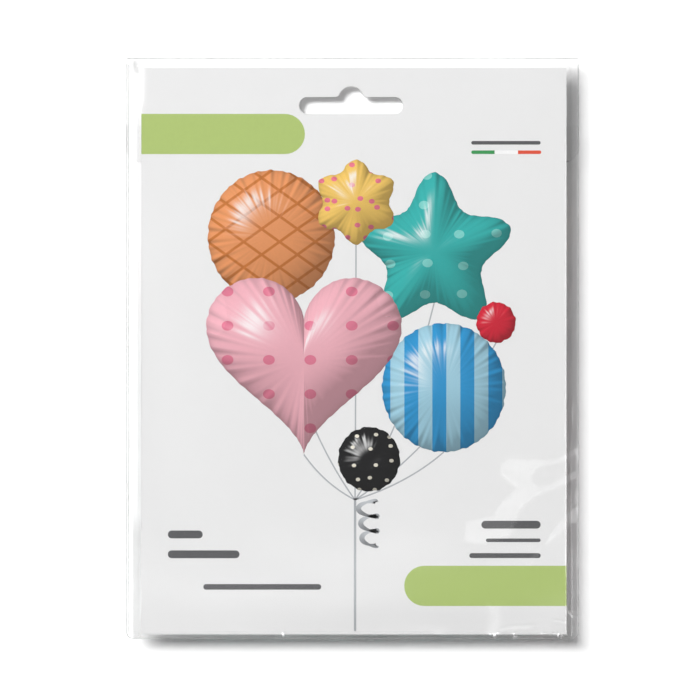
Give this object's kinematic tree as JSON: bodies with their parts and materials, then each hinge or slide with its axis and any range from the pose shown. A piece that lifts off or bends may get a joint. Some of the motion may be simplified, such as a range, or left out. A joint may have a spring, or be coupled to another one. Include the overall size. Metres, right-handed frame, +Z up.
{
  "type": "foil balloon retail packet",
  "caption": "Clear film bag with a printed insert card, a flat-folded foil balloon behind it, a euro hang slot and a seal flap that turns on the top fold.",
  "frame": {"origin": "top of the euro slot's bump, where a display peg bears, in the middle of the card's thickness", "axes": "+X to the right as seen from the front, front face towards -Y, +Z up; the packet hangs from its slot"},
  "size_m": [0.1387, 0.0041, 0.1786],
  "materials": {
    "clear_film": "clear glossy film",
    "printed_card": "coated board, matte print",
    "metallised_foil": "metallised film with pink print",
    "glue": "tacky clear strip"
  },
  "bodies": {
    "packet": {"front_film": "clear_film", "back_film": "clear_film", "insert_card": "printed_card", "folded_balloon": "metallised_foil", "inflation_neck": "metallised_foil"},
    "flap": {"seal_flap": "clear_film", "glue_strip": "glue"}
  },
  "joints": [
    {"name": "flap_fold", "type": "hinge", "parent": "packet", "child": "flap", "pos_m": [0.00045, 0.00042, 0.00868], "axis": [1, 0, 0], "range_deg": [0, 180]}
  ]
}
